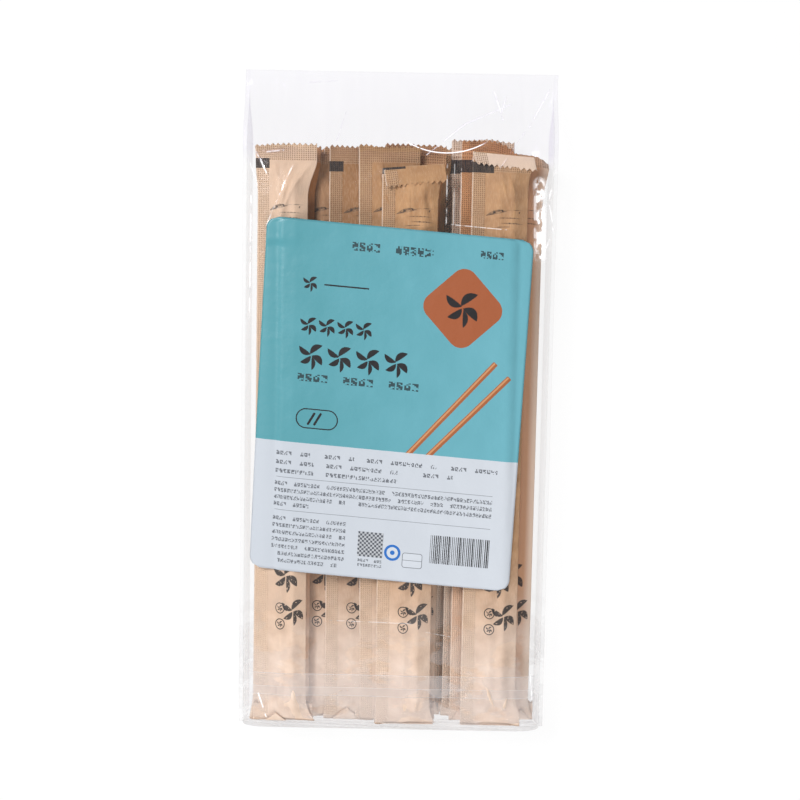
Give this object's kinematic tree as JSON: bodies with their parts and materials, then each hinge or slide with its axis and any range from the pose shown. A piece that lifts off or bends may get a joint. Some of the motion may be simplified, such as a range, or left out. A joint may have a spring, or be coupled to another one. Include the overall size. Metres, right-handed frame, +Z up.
{
  "type": "pack of paper-wrapped bamboo chopsticks",
  "caption": "Clear film bag of disposable bamboo chopsticks, each pair sealed in a kraft paper sleeve, with a two-colour label.",
  "frame": {"origin": "on the surface the pack lies on, under the middle of the bag", "axes": "+Z up out of the label face, +Y along the bag to its sealed top, +X to the right seen from the label side"},
  "size_m": [0.149, 0.315, 0.0268],
  "materials": {
    "kraft_paper": "matte uncoated",
    "clear_film": "clear gloss film",
    "label_print": "satin coated paper"
  },
  "bodies": {
    "root": {"clear_bag": "clear_film", "label": "label_print", "wrapped_pair_01": "kraft_paper", "wrapped_pair_02": "kraft_paper", "wrapped_pair_03": "kraft_paper", "wrapped_pair_04": "kraft_paper", "wrapped_pair_05": "kraft_paper", "wrapped_pair_06": "kraft_paper", "wrapped_pair_07": "kraft_paper", "wrapped_pair_08": "kraft_paper", "wrapped_pair_09": "kraft_paper", "wrapped_pair_10": "kraft_paper", "wrapped_pair_11": "kraft_paper", "wrapped_pair_12": "kraft_paper", "wrapped_pair_13": "kraft_paper", "wrapped_pair_14": "kraft_paper", "wrapped_pair_15": "kraft_paper", "wrapped_pair_16": "kraft_paper", "wrapped_pair_17": "kraft_paper", "wrapped_pair_18": "kraft_paper", "wrapped_pair_19": "kraft_paper", "wrapped_pair_20": "kraft_paper"}
  },
  "joints": []
}
